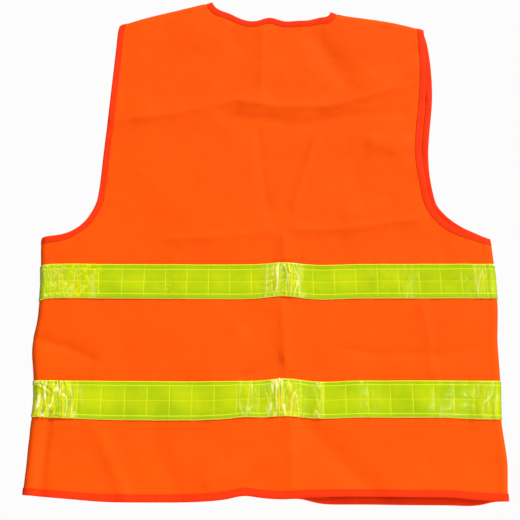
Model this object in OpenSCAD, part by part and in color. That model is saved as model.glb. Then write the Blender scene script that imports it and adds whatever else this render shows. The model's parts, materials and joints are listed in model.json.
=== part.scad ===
// High visibility vest: an orange polyester body with two reflective bands,
// bound edges, and a front that opens with hook and loop.
// It hangs as it is worn: Z is up, the back panel faces -Y, the front opening faces +Y.
// The origin is midway between the two neck points of the shoulder seams, in the
// plane where the back and the front layers meet. "Left" is the wearer's left, at -X.

/* [Body] */
// Length from the neck point to the cut edge of the hem
vest_length = 745; // [600:5:850]
// Width across the side seams
vest_width = 630; // [560:5:760]
// Clear space between the back layer and the front layer
layer_gap = 15; // [14:1:40]
// Thickness of the polyester knit
cloth_t = 0.8; // [0.6:0.1:1.2]

/* [Shoulders and neck] */
// Distance between the two neck points
neck_width = 186; // [160:2:210]
// Depth of the back neckline below the neck points
back_neck_drop = 38; // [25:1:55]
// Height below the neck points at which the V neck meets the front edge
front_neck_drop = 330; // [280:5:380]
// Distance between the two shoulder tips
shoulder_width = 464; // [430:2:500]
// Drop of a shoulder tip below its neck point
shoulder_drop = 45; // [30:1:70]
// Length of cloth below a shoulder seam over which the two layers come together
shoulder_lean = 20; // [18:1:30]

/* [Armholes] */
// Depth of the armpit below the neck points
armpit_drop = 391; // [360:1:420]
// Distance by which the armhole edge moves out from the shoulder tip to its corner
armhole_flare = 12; // [4:1:20]
// Slope of the armhole edge beside the armpit, in degrees
armpit_slope = 20; // [10:1:30]
// Radius of the corner of the armhole
armhole_r = 58; // [40:1:60]

/* [Edges] */
// Finished width of the binding tape
binding_w = 9; // [6:0.5:14]
// Thickness of the binding tape, which lies on both faces of the cloth
binding_t = 0.6; // [0.4:0.1:0.8]
// Width of an overlocked seam allowance
allowance_w = 9; // [6:0.5:10]
// Half of the thickness of an overlocked seam allowance
allowance_half_t = 0.6; // [0.4:0.1:0.8]

/* [Reflective bands] */
// Width of a band
band_w = 50; // [50:1:60]
// Thickness of a band
band_t = 0.6; // [0.4:0.1:0.8]
// Depth of the upper band's top edge below the neck points
upper_band_drop = 428; // [420:1:440]
// Depth of the lower band's top edge below the neck points
lower_band_drop = 593; // [590:1:640]

/* [Front opening] */
// Width by which the left front overlaps the right front
front_overlap = 50; // [46:2:60]
// Distance of a front's fold line from the middle of the vest, at the hem
fold_hem_x = 215; // [190:5:240]
// Angle to which a front opens, in degrees
open_angle = 170; // [90:5:170]
// Radius where the V neck runs into the front edge
front_neck_r = 150; // [80:10:200]

/* [Hook and loop] */
// Width of a hook or loop patch
patch_w = 25; // [20:1:26]
// Height of a hook or loop patch
patch_h = 50; // [30:5:60]
// Thickness of a hook or loop patch
patch_t = 1.2; // [0.8:0.1:1.5]
// Clearance between a hook patch and its loop patch
patch_gap = 0.4; // [0.3:0.1:0.6]
// Depth of the top of the upper patches below the neck points
upper_patch_drop = 350; // [340:5:370]
// Depth of the top of the lower patches below the neck points
lower_patch_drop = 512; // [500:5:540]

/* [Labels] */
// Width of the woven neck label
neck_label_w = 42; // [30:1:60]
// Height of the woven neck label
neck_label_h = 34; // [20:1:50]
// Width of the care label in the left side seam
care_label_w = 32; // [20:1:40]
// Height of the care label in the left side seam
care_label_h = 60; // [40:1:80]
// Thickness of a label
label_t = 0.4; // [0.3:0.1:0.6]

/* [Hidden] */

orange = "#fe5c10";
binding_orange = "#fe3c16";
lime = "#c4dc18";
white = "#f4f4f0";
overlock = "#f2602a";
black = "#202020";

half_gap = layer_gap / 2;
side_x = vest_width / 2;
neck_x = neck_width / 2;
tip_x = shoulder_width / 2;
shoulder_slope = atan2(shoulder_drop, tip_x - neck_x);
shoulder_len = norm([tip_x - neck_x, shoulder_drop]);
front_edge_x = front_overlap / 2;
flap_raise = cloth_t + 2 * patch_t + patch_gap;
ramp_w = 18;
ramp_margin = 7;
depth = layer_gap + 60;
far = 900;
lap = 2;
arc_step = 15;
neck_steps = 10;
past_fold = 10;
lean_reach = 4;
seam_clearance = 0.1;
seam_setback = 4;
label_clearance = 1;

// The fold line of a front, from its neck point to the hem.
fold_angle = atan2(fold_hem_x - neck_x, vest_length);
// Depth on the fold line from which the front turns; above it the cloth only twists.
flap_top = 50;
flap_top_x = neck_x + flap_top * tan(fold_angle);

// ---- Outlines, as [x, z] points on the wearer's right side, at +X ----

function unit(v) = v / norm(v);
function left_of(v) = [-v[1], v[0]];

// Points of an arc of radius r that rounds the corner b between a and c.
function fillet(a, b, c, r, steps = 10) =
    let (
        into = unit(b - a),
        out = unit(c - b),
        turn = into[0] * out[1] - into[1] * out[0],
        angle = atan2(turn, into * out),
        reach = r * tan(abs(angle) / 2),
        start = b - reach * into,
        side = turn > 0 ? 1 : -1,
        centre = start + side * r * left_of(into),
        from = atan2(start[1] - centre[1], start[0] - centre[0])
    )
    [for (i = [0 : steps]) let (t = from + angle * i / steps) centre + r * [cos(t), sin(t)]];

// The same path moved to its left by d, each point along the mean of its neighbours' directions.
function shifted(path, d) =
    let (n = len(path))
    [for (i = [0 : n - 1])
        let (
            before = i > 0 ? unit(path[i] - path[i - 1]) : unit(path[1] - path[0]),
            after = i < n - 1 ? unit(path[i + 1] - path[i]) : before,
            mean = unit(before + after)
        )
        path[i] + d / (mean * before) * left_of(mean)];

function reversed(path) = [for (i = [len(path) - 1 : -1 : 0]) path[i]];
function flipped(path) = [for (p = path) [-p[0], p[1]]];

neck_point = [neck_x, 0];
tip = [tip_x, -shoulder_drop];
armpit = [side_x, -armpit_drop];
armhole_corner_x = tip_x + armhole_flare;
armhole_corner = [armhole_corner_x, -armpit_drop + (side_x - armhole_corner_x) * tan(armpit_slope)];
armhole = concat([tip], fillet(tip, armhole_corner, armpit, armhole_r), [armpit]);

back_neck = [for (i = [-neck_steps : neck_steps])
    let (a = 90 * i / neck_steps)
    [neck_x * sin(a), -back_neck_drop * cos(a)]];

// The right front edge runs past the middle, to the wearer's left.
v_bottom = [-front_edge_x, -front_neck_drop];
hem_corner = [-front_edge_x, -vest_length];
front_edge = concat([neck_point], fillet(neck_point, v_bottom, hem_corner, front_neck_r), [hem_corner]);

back_outline = concat(back_neck, armhole, [[side_x, -vest_length], [-side_x, -vest_length]],
    reversed(flipped(armhole)));
front_outline = concat(front_edge, [[side_x, -vest_length]], reversed(armhole));

// A strip beside a path, from lo to hi to its left.
function strip(path, lo, hi) = concat(shifted(path, lo), reversed(shifted(path, hi)));

// Lengthened at both ends, so that a strip covers its corners.
function run_on(path, d) =
    let (n = len(path))
    concat([path[0] + d * unit(path[0] - path[1])], path,
        [path[n - 1] + d * unit(path[n - 1] - path[n - 2])]);

armhole_path = reversed(run_on(armhole, lap));
edge_path = run_on(front_edge, binding_t);
back_neck_path = reversed(run_on(back_neck, lap));

// ---- Building blocks ----

// An outline in X and Z, as a block that runs right through the vest along Y.
module through(points) {
    rotate([90, 0, 0])
        linear_extrude(height = depth, center = true)
            polygon(points);
}

// The curve of one layer in X and Y, at a given height above the cloth's inner face.
function wrap_curve(h) = concat(
    [for (a = [180 : -arc_step : 90]) [-side_x + half_gap + cloth_t, 0] + (half_gap + h) * [cos(a), sin(a)]],
    [for (a = [90 : -arc_step : 0]) [side_x - half_gap - cloth_t, 0] + (half_gap + h) * [cos(a), sin(a)]]);

// Height of the left flap's ramp over the right flap, at a given x.
function raise_at(x) =
    let (start = -front_edge_x - ramp_margin - ramp_w)
    flap_raise * max(0, min(1, (x - start) / ramp_w));

ramp_xs = [-fold_hem_x - past_fold, -front_edge_x - ramp_margin - ramp_w, -front_edge_x - ramp_margin,
    front_edge_x + binding_t];
function ramp_curve(h) = [for (x = ramp_xs) [x, half_gap + h + raise_at(x)]];

// A layer of the body from height lo to height hi, below the shoulders, on the +Y side.
module wrap(lo, hi) {
    translate([0, 0, -vest_length - binding_t])
        linear_extrude(height = vest_length + back_neck_drop)
            polygon(concat(wrap_curve(hi), reversed(wrap_curve(lo))));
}

// Everything under a plane that leans in to the shoulder seam at +X, at a given height h.
module under_shoulder(h) {
    rise = lean_reach * [-half_gap, shoulder_lean];
    top = [h, 0] + rise;
    foot = [h, 0] - rise;
    translate([neck_x, 0, 0])
        rotate([0, shoulder_slope, 0])
            translate([-far, 0, 0])
                rotate([90, 0, 90])
                    linear_extrude(height = 2 * far)
                        polygon([top, foot, [foot[0], -2 * far], [-depth, -2 * far], [-depth, top[1]]]);
}

// The space from the plane between the layers, or from further down, out to a height h.
module under_layer(h, base) {
    curve = wrap_curve(h);
    intersection() {
        translate([0, 0, -vest_length - lap])
            linear_extrude(height = vest_length + 2 * lap)
                polygon(concat(curve, [[curve[len(curve) - 1][0], base], [curve[0][0], base]]));
        under_shoulder(h);
        mirror([1, 0, 0]) under_shoulder(h);
    }
}

// The part of one whole layer, on the +Y side, that lies inside the outline given as a child.
module layer(lo, hi) {
    intersection() {
        difference() {
            under_layer(hi, 0);
            under_layer(lo, -lap);
        }
        children();
    }
}

// A binding tape on one layer, folded over the cut edge of a path: a skin on the outer face,
// a skin on the inner face, and the fold that joins them outside the edge.
module folded_tape(path) {
    layer(cloth_t, cloth_t + binding_t) through(strip(path, -binding_t, binding_w));
    layer(-binding_t, 0) through(strip(path, -binding_t, binding_w));
    layer(0, cloth_t) through(strip(path, -binding_t, 0));
}

// The corner of a flap: the point on the fold line where the flap begins, and two directions.
flap_corner = [flap_top_x, -flap_top];
fold_down = [sin(fold_angle), -cos(fold_angle)];
flap_in = [-cos(fold_angle), -sin(fold_angle)];

// Everything inside the fold line of the right front, and below the flap's top.
module flap_area() {
    through([flap_corner, flap_corner + far * flap_in, flap_corner + far * (flap_in + fold_down),
        flap_corner + far * fold_down]);
}

// The rest of the front.
module side_area() {
    through([flap_corner, flap_corner + far * fold_down, [2 * far, -far], [2 * far, far],
        [-2 * far, far], flap_corner + far * flap_in]);
}

// Everything between two heights.
module slab(bottom, height) {
    translate([-far / 2, -depth / 2, bottom])
        cube([far, depth, height]);
}

module band_slab(drop) {
    slab(-drop - band_w, band_w);
}

// side = 1 builds the wearer's right, as the outlines are drawn; side = -1 the wearer's left.
module on_side(side) {
    if (side > 0) children();
    else mirror([1, 0, 0]) children();
}

// A flap's layer: flat on the right front, and raised over the overlap on the left front.
module flap_layer(side, lo, hi) {
    if (side > 0) {
        translate([-front_edge_x - binding_t, half_gap + lo, -vest_length - binding_t])
            cube([fold_hem_x + front_edge_x + past_fold, hi - lo, vest_length]);
    } else {
        translate([0, 0, -vest_length - binding_t])
            linear_extrude(height = vest_length)
                polygon(concat(ramp_curve(hi), reversed(ramp_curve(lo))));
    }
}

// ---- Back ----

module back_panel() {
    color(orange)
        mirror([0, 1, 0]) layer(0, cloth_t) through(back_outline);
}

module back_band(drop) {
    color(lime)
        intersection() {
            mirror([0, 1, 0]) wrap(cloth_t, cloth_t + band_t);
            band_slab(drop);
        }
}

module back_upper_band() {
    back_band(upper_band_drop);
}

module back_lower_band() {
    back_band(lower_band_drop);
}

// ---- Front sides, between the side seams and the fold lines ----

module panel_side(side) {
    color(orange)
        on_side(side)
            layer(0, cloth_t)
                intersection() {
                    through(front_outline);
                    side_area();
                }
}

module band_side(side, drop) {
    color(lime)
        on_side(side)
            intersection() {
                wrap(cloth_t, cloth_t + band_t);
                band_slab(drop);
                side_area();
            }
}

// ---- Front flaps, between the fold lines and the front edges ----

module panel_flap(side) {
    color(orange)
        intersection() {
            flap_layer(side, 0, cloth_t);
            on_side(side) through(front_outline);
            on_side(side) flap_area();
        }
}

// The part of a flap beside its edge binding.
module inside_binding() {
    through(concat(shifted(edge_path, binding_w), [[far, -far], [far, far]]));
}

module band_flap(side, drop) {
    color(lime)
        intersection() {
            flap_layer(side, cloth_t, cloth_t + band_t);
            band_slab(drop);
            on_side(side) inside_binding();
            on_side(side) flap_area();
        }
}

module hem_flap(side) {
    module skin_part(lo, hi, bottom, height) {
        intersection() {
            flap_layer(side, lo, hi);
            slab(bottom, height);
            on_side(side) inside_binding();
            on_side(side) flap_area();
        }
    }
    color(binding_orange) {
        skin_part(cloth_t, cloth_t + binding_t, -vest_length - binding_t, binding_w + binding_t);
        skin_part(-binding_t, 0, -vest_length - binding_t, binding_w + binding_t);
        skin_part(0, cloth_t, -vest_length - binding_t, binding_t);
    }
}

module edge_binding(side) {
    module skin_part(lo, hi, inner) {
        intersection() {
            flap_layer(side, lo, hi);
            on_side(side) through(strip(edge_path, -binding_t, inner));
            on_side(side) flap_area();
        }
    }
    color(binding_orange) {
        skin_part(cloth_t, cloth_t + binding_t, binding_w);
        skin_part(-binding_t, 0, binding_w);
        difference() {
            skin_part(0, cloth_t, lap);
            on_side(side) through(front_outline);
        }
    }
}

// ---- Bindings of the body ----

module armhole_binding(side) {
    color(binding_orange)
        on_side(side) {
            folded_tape(armhole_path);
            mirror([0, 1, 0]) folded_tape(armhole_path);
        }
}

module neck_binding() {
    color(binding_orange) {
        mirror([0, 1, 0]) folded_tape(back_neck_path);
        for (side = [-1, 1])
            on_side(side)
                intersection() {
                    folded_tape(edge_path);
                    side_area();
                }
    }
}

module hem_binding() {
    module skin_part(lo, hi, height) {
        intersection() {
            mirror([0, 1, 0]) wrap(lo, hi);
            slab(-vest_length - binding_t, height);
        }
        for (side = [-1, 1])
            on_side(side)
                intersection() {
                    wrap(lo, hi);
                    slab(-vest_length - binding_t, height);
                    side_area();
                }
    }
    color(binding_orange) {
        skin_part(cloth_t, cloth_t + binding_t, binding_w + binding_t);
        skin_part(-binding_t, 0, binding_w + binding_t);
        skin_part(0, cloth_t, binding_t);
    }
}

// ---- Seams, inside the vest ----

module side_seam(side) {
    seam_x = side_x - cloth_t - seam_clearance;
    color(overlock)
        on_side(side)
            translate([seam_x - allowance_w, -allowance_half_t, -vest_length + binding_w])
                cube([allowance_w, 2 * allowance_half_t, vest_length - binding_w - armpit_drop - binding_w]);
}

// The allowance fills the wedge under the shoulder seam and hangs between the layers.
module shoulder_seam(side) {
    wedge = shoulder_lean * allowance_half_t / half_gap;
    start = binding_w + seam_setback;
    color(overlock)
        on_side(side)
            translate([neck_x, 0, 0])
                rotate([0, shoulder_slope, 0])
                    translate([start, 0, 0])
                        rotate([90, 0, 90])
                            linear_extrude(height = shoulder_len - 2 * start)
                                polygon([[0, 0], [allowance_half_t, -wedge],
                                    [allowance_half_t, -allowance_w], [-allowance_half_t, -allowance_w],
                                    [-allowance_half_t, -wedge]]);
}

// ---- Hook and loop ----

// A flat patch, standing on a face at y and rising by patch_t along +Y.
module patch(y, drop) {
    translate([0, y + patch_t, -drop - patch_h / 2])
        rotate([90, 0, 0])
            linear_extrude(height = patch_t)
                square([patch_w, patch_h], center = true);
}

module hook(drop) {
    color(black) patch(half_gap + flap_raise - patch_t, drop);
}

module loop(drop) {
    color(black) patch(half_gap + cloth_t, drop);
}

// ---- Labels ----

module neck_label() {
    color(white)
        translate([-neck_label_w / 2, -half_gap, -back_neck_drop - binding_w - label_clearance - neck_label_h])
            cube([neck_label_w, label_t, neck_label_h]);
}

module care_label() {
    label_x = -side_x + half_gap + cloth_t;
    label_z = -(upper_band_drop + band_w + lower_band_drop) / 2;
    color(white)
        translate([label_x, -half_gap, label_z - care_label_h / 2])
            cube([care_label_w, label_t, care_label_h]);
}

back_panel();
back_upper_band();
back_lower_band();
panel_side(-1);  // left_panel_side
panel_side(1);  // right_panel_side
band_side(-1, upper_band_drop);  // left_upper_band_side
band_side(1, upper_band_drop);  // right_upper_band_side
band_side(-1, lower_band_drop);  // left_lower_band_side
band_side(1, lower_band_drop);  // right_lower_band_side
panel_flap(-1);  // left_panel_flap
panel_flap(1);  // right_panel_flap
band_flap(-1, upper_band_drop);  // left_upper_band_flap
band_flap(1, upper_band_drop);  // right_upper_band_flap
band_flap(-1, lower_band_drop);  // left_lower_band_flap
band_flap(1, lower_band_drop);  // right_lower_band_flap
hem_flap(-1);  // left_hem_flap
hem_flap(1);  // right_hem_flap
edge_binding(-1);  // left_edge_binding
edge_binding(1);  // right_edge_binding
neck_binding();
hem_binding();
armhole_binding(-1);  // left_armhole_binding
armhole_binding(1);  // right_armhole_binding
side_seam(-1);  // left_side_seam
side_seam(1);  // right_side_seam
shoulder_seam(-1);  // left_shoulder_seam
shoulder_seam(1);  // right_shoulder_seam
hook(upper_patch_drop);  // upper_hook
hook(lower_patch_drop);  // lower_hook
loop(upper_patch_drop);  // upper_loop
loop(lower_patch_drop);  // lower_loop
neck_label();
care_label();
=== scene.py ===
import json
import math

import bmesh
import bpy
import numpy as np
from mathutils import Matrix, Vector, noise


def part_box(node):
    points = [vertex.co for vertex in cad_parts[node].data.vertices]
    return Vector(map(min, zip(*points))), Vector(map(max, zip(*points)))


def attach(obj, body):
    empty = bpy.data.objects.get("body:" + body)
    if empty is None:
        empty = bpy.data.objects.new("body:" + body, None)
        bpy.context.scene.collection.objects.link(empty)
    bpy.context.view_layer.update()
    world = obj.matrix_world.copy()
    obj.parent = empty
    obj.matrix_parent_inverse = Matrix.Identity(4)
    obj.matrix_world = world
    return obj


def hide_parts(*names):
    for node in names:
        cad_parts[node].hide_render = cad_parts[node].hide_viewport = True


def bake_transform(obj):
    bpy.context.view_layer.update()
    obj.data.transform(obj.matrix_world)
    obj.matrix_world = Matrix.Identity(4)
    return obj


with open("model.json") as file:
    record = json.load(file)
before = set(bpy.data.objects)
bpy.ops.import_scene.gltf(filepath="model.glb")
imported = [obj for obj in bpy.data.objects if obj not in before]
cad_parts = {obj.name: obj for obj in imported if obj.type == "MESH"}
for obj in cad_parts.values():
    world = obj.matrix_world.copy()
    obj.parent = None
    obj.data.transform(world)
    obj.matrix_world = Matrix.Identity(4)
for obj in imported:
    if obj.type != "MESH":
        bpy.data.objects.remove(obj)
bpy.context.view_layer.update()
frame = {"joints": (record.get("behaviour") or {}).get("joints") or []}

# ---- Camera ----
# It looks at the middle of the back from straight behind and a little below, so the hem is nearer
# than the neck. A fairly long lens, a bit over a metre away, keeps the sides nearly parallel.

back_low, back_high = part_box("back_panel")
camera_tilt = math.radians(18)
camera_distance = 1.266
looked_at = Vector((-0.011, back_low.y, -0.422))
camera_data = bpy.data.cameras.new("camera")
camera_data.sensor_width = 36
camera_data.lens = 62.3
camera = bpy.data.objects.new("camera", camera_data)
camera.location = looked_at - camera_distance * Vector((0, math.cos(camera_tilt), math.sin(camera_tilt)))
camera.rotation_euler = (math.radians(90) + camera_tilt, 0, 0)
bpy.context.scene.collection.objects.link(camera)
bpy.context.scene.camera = camera

# ---- Back panel ----
# One layer of polyester warp knit, cut flat from shoulder to hem and sewn to the fronts at the
# shoulders and sides. It was folded small in its packet, and the folds still show.

METRE = 0.001  # the cloth is worked out in millimetres, and meshes are in metres

cloth_t = 0.8
outer_r = -back_low.y / METRE
middle_r = outer_r - cloth_t / 2
quarter_turn = middle_r * math.pi / 2
side_x = back_high.x / METRE
hem_z = back_low.z / METRE
flat_x = side_x - outer_r
seam_s = flat_x + quarter_turn
neck_x = abs(frame["joints"][0]["pos_m"][0]) / METRE
shoulder_tip = (232.0, -45.0)
shoulder_slope = math.atan2(-shoulder_tip[1], shoulder_tip[0] - neck_x)
slope_sin, slope_cos = math.sin(shoulder_slope), math.cos(shoulder_slope)
# Cloth that the turn over a shoulder takes up, beyond what it shows from the back.
turn_spare = quarter_turn - middle_r
back_neck_drop = 38.0
armpit_z = -391.0
armhole_flare = 12.0
armpit_slope = math.radians(20)
armhole_r = 58.0
visible_cloth_t = 0.5


def smooth(x):
    x = np.clip(x, 0, 1)
    return x * x * (3 - 2 * x)


def bump(x, middle, width, power=2):
    return np.exp(-np.abs((x - middle) / width) ** power)


def lay(layer, s, t):
    """How the cloth lies in its own plane: the right shoulder has slipped down, the neck edge
    waves, the hem sags between its corners, and the front has slid a little to the right."""
    near_top = smooth((t + 350) / 340)
    across = 6.0 * near_top + 4.0 * bump(s, -240, 30) * smooth((t + 62) / 30)
    across += 1.5 * bump(s, -95, 40) * smooth((t + 60) / 50)
    slip = -17 * bump(s, 96, np.where(s < 96, 35, 76)) - 3 * bump(s, 240, 60)
    slip += 6 * smooth((-60 - s) / 160)
    up = slip * smooth((t + 230) / 220)
    neck_waves = 9 * bump(s, -2, 17) + 5 * bump(s, -66, 18) + 5 * bump(s, 76, 14)
    up += neck_waves * smooth((t + 95) / 60)
    crease_lift = 3.6 * bump(s, 21, 26) - 1.8 * bump(s, 78, 32) - 1.2 * bump(s, -70, 90)
    up += crease_lift * bump(t, -540, 150, 4)
    up -= 7.5 * bump(s, -270, 34) * bump(t, -376, 32, 4)
    up -= 4.5 * smooth((-288 - s) / 30) * bump(t, -458, 45)
    near_hem = smooth((-560 - t) / 170)
    sag = -5.5 * bump(s, -155, 100, 4) + 3.5 * bump(s, -322, 35) + 3.5 * bump(s, -32, 18)
    sag += -1.5 * bump(s, 20, 22) + 1.0 * bump(s, 115, 60) - 4.5 * smooth((s - 225) / 90)
    up += sag * near_hem
    # The right armhole is pulled in, and the sides bow out under the armpits and between the bands.
    across -= 16.5 * bump(t, -265, 92) * smooth((s - 60) / 150)
    bow_left = 2.5 + 5.0 * bump(t, -395, 38) + 5.2 * bump(t, -543, 30) - 3.2 * bump(t, -622, 28)
    bow_left += 1.2 * smooth((-700 - t) / 40)
    bow_right = 4.5 * smooth((t + 545) / 60) - 3.5 * bump(t, -640, 35) - 3.0 * smooth((-690 - t) / 50)
    below_arms = smooth((-330 - t) / 60)
    across += below_arms * np.where(s > 0, bow_right, -bow_left) * smooth((np.abs(s) - 200) / 110)
    if layer != "back":
        down = np.clip((-46 - t) / 340, 0, 1)
        across += 13.0 * np.sin(math.pi * down) ** 0.35
        up += -9.5 * bump(s, 168, 116, 10) * near_hem
        up += 5.5 * bump(s, 262, 38) * bump(t, -368, 32, 4)
    return across, up


def slide(layer, s, t):
    """How far the cloth has slid round the sides: the left seam to the front, the right one to the back."""
    reach = 6.0 + 5.0 * bump(t, armpit_z, 45) * (s < 0)
    reach *= smooth((np.abs(s) - 180) / 120) * smooth((-290 - t) / 90)
    return reach * (-1 if layer == "back" else 1)


def overlap_raise(layer, s):
    """The left front climbs over the right front before the middle."""
    if layer != "left_front":
        return 0 * s
    return 3.6 * smooth((s + 50) / 20)


def middle_of_cloth(layer, s, t):
    """The place of a flat cloth point before folds. s runs across and t up, both in millimetres."""
    side = np.sign(s)
    slid = np.minimum(np.abs(s), seam_s) + side * slide(layer, s, t)
    turn = np.clip(slid - flat_x, 0, 2 * quarter_turn) / middle_r
    x = side * (np.minimum(slid, flat_x) + middle_r * np.sin(turn))
    out = middle_r * np.cos(turn)
    below_seam = (neck_x - np.abs(s)) * slope_sin - t * slope_cos + turn_spare
    roll = np.clip(below_seam, 0, quarter_turn) / middle_r
    taken_up = np.clip(middle_r * (1 - np.cos(roll)) - roll * middle_r + turn_spare, 0, None)
    x = x - side * slope_sin * taken_up
    z = t - slope_cos * taken_up
    out = out * np.sin(roll) + overlap_raise(layer, s)
    if layer == "right_front":
        # Its hem has sunk against the back.
        out = out - 7.5 * bump(s, 168, 100, 8) * smooth((-650 - t) / 90)
    across, up = lay(layer, s, t)
    facing = -1 if layer == "back" else 1
    return np.stack([x + across, facing * out, z + up], -1)


def ridge(s, t, points, width, height, power=1):
    """A pressed fold: a sharp crest along a line, with flanks that die away, and soft ends. At
    power 2 it is a soft swell instead."""
    points = np.array(points, float)
    runs = np.diff(points, axis=0)
    lengths = np.linalg.norm(runs, axis=1)
    starts = np.concatenate([[0], np.cumsum(lengths)])
    best = np.full(s.shape, 1e9)
    along = np.zeros(s.shape)
    for i in range(len(runs)):
        share = ((s - points[i, 0]) * runs[i, 0] + (t - points[i, 1]) * runs[i, 1]) / lengths[i] ** 2
        share = np.clip(share, 0, 1)
        away = np.hypot(s - points[i, 0] - share * runs[i, 0], t - points[i, 1] - share * runs[i, 1])
        along = np.where(away < best, (starts[i] + share * lengths[i]) / starts[-1], along)
        best = np.minimum(best, away)
    ends = np.clip(np.minimum(along, 1 - along) / 0.12, 0, 1)
    if power == 2:
        return height * np.exp(-(best / width) ** 2)
    return height * (0.25 + 0.75 * smooth(ends)) * np.exp(-np.hypot(best, 1.2) / width) * (ends > 0)


def rumple(s, t, size, seed):
    """Even, random unevenness of about one, with bumps of the given size."""
    return np.array([noise.noise(Vector((a / size, b / size, seed))) for a, b in zip(s.ravel(), t.ravel())]
                    ).reshape(s.shape)


front_layers = {"left_front": -1, "right_front": 1}
fold_hem_x = 215.0
fold_start = np.array([neck_x, 0.0])
fold_run = np.array([fold_hem_x - neck_x, hem_z])
fold_run /= np.linalg.norm(fold_run)
fold_in = np.array([fold_run[1], -fold_run[0]])
fold_depth = 1.85
# The cloth is pressed flat this far to each side of a line a little inside the fold line.
pressed_middle, pressed_reach = 4.0, 10.0


def past_fold_line(layer, s, t):
    """How far a point of a front lies inside the line where that front folds back."""
    return (front_layers[layer] * s - fold_start[0]) * fold_in[0] + (t - fold_start[1]) * fold_in[1]


def fold_line_share(layer, s, t):
    """1 away from the line where a front folds back, and 0 on it, where the cloth is pressed flat. The
    overlap at the middle is nearly flat too, so that one front lies on the other."""
    if layer == "back":
        return 1
    overlap_share = 0.12 + 0.88 * smooth((np.abs(s) - 42) / 40)
    beyond_pressed = np.abs(past_fold_line(layer, s, t) - pressed_middle) - pressed_reach
    return overlap_share * smooth(beyond_pressed / 22)


band_w = 50.0
band_tops = [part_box(name)[1].z / METRE for name in ("back_upper_band", "back_lower_band")]
allowance_w = 9.0

# Each fold's line, width and height. A 2 after them makes it a soft swell.
back_folds = [
    ([(-236, -207), (-138, -195), (-49, -171), (18, -183), (92, -180), (226, -140)], 11, 2.6),
    ([(-60, -197), (0, -204), (47, -212), (122, -196), (205, -190)], 9, -0.8, 2),
    ([(72, -226), (52, -290), (34, -354)], 5, 1.3),
    ([(-17, -210), (-8, -290), (3, -365)], 6, -1.1),
    ([(-14, -45), (-12, -120), (-14, -180)], 9, 1.1),
    ([(-150, -392), (-60, -386), (17, -376)], 7, 1.5),
    ([(17, -378), (131, -374), (234, -358)], 9, 2.3),
    ([(22, -380), (24, -428)], 8, 1.6),
    ([(18, -478), (22, -535), (24, -593)], 9, 1.7),
    ([(28, -643), (31, -700), (32, -742)], 7, 1.4),
    ([(-312, -532), (-270, -545), (-228, -566)], 9, -2.2),
    ([(-40, -590), (-8, -578), (22, -566)], 9, -1.9),
    ([(-110, -588), (-70, -558), (-30, -520)], 13, 1.2),
    ([(84, -545), (150, -556), (240, -558), (300, -545)], 8, -1.5),
    ([(214, -480), (222, -540), (220, -592)], 10, 1.3),
    ([(-286, -640), (-288, -700), (-286, -745)], 6, -1.6, 2),
    ([(-228, -655), (-208, -690), (-185, -745)], 10, 1.4, 2),
    ([(-120, -745), (-140, -690), (-150, -650)], 14, -0.9, 2),
    ([(-75, -722), (-30, -712), (26, -690)], 14, 1.5, 2),
    ([(56, -655), (95, -700), (135, -735)], 15, -1.4, 2),
    ([(190, -735), (225, -700), (275, -655)], 17, -1.3, 2),
    ([(-215, -150), (-130, -105), (-60, -75)], 22, -1.5, 2),
    ([(70, -60), (95, -95), (112, -130)], 20, -1.8, 2),
    ([(240, -300), (190, -345), (120, -352)], 16, 1.6, 2),
    ([(165, -240), (205, -250), (240, -235)], 13, 1.4, 2),
    ([(100, -130), (165, -135), (236, -110)], 17, 1.4, 2),
]
front_folds = [
    ([(-236, -200), (-150, -190), (-70, -178)], 11, 2.0),
    ([(70, -180), (150, -186), (230, -160)], 11, 2.0),
    ([(-300, -378), (-160, -370), (-20, -376)], 9, 1.7),
    ([(-20, -378), (120, -370), (250, -366)], 9, 1.7),
    ([(-150, -480), (-152, -540), (-150, -592)], 9, 1.5),
    ([(140, -480), (146, -540), (144, -592)], 9, 1.5),
    ([(-240, -650), (-200, -700), (-190, -740)], 13, 1.6),
    ([(210, -650), (180, -700), (150, -740)], 13, 1.6),
]


def folds(layer, s, t):
    """How far the cloth stands out from its even form: packing folds, slack and puckers."""
    lines, seed = {"back": (back_folds, 3.7), "left_front": (front_folds, 9.1),
                   "right_front": (front_folds, 14.3)}[layer]
    out = sum(ridge(s, t, *line) for line in lines)
    out = out + 1.3 * rumple(s, t, 120, seed) + 0.8 * rumple(s, t, 45, seed + 1)
    out += 0.22 * rumple(s, t, 16, seed + 2)
    # The stiff bands draw the softer cloth beside their stitching into short puckers.
    for band_top in band_tops:
        beside = np.minimum(np.abs(t - band_top), np.abs(t - band_top + band_w))
        inside = (t < band_top) & (t > band_top - band_w)
        pucker = 0.55 * rumple(s, 0 * t, 9, seed + band_top)
        out += np.where(inside, 0.3, 1.0) * pucker * np.exp(-beside / 9)
    out = fold_depth * out * fold_line_share(layer, s, t)
    # The overlocked allowances press through from inside, beside each side and shoulder seam.
    below_seam = (neck_x - np.abs(s)) * slope_sin - t * slope_cos + turn_spare
    over_allowance = smooth((allowance_w + 1 - (seam_s - np.abs(s))) / 2) * smooth((armpit_z - 4 - t) / 4)
    over_allowance += smooth((allowance_w + 1 - below_seam) / 2) * smooth((np.abs(s) - neck_x - 8) / 4)
    settle = smooth((seam_s - np.abs(s)) / 12) * smooth(below_seam / 12)
    return out * settle + 0.7 * over_allowance


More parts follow.
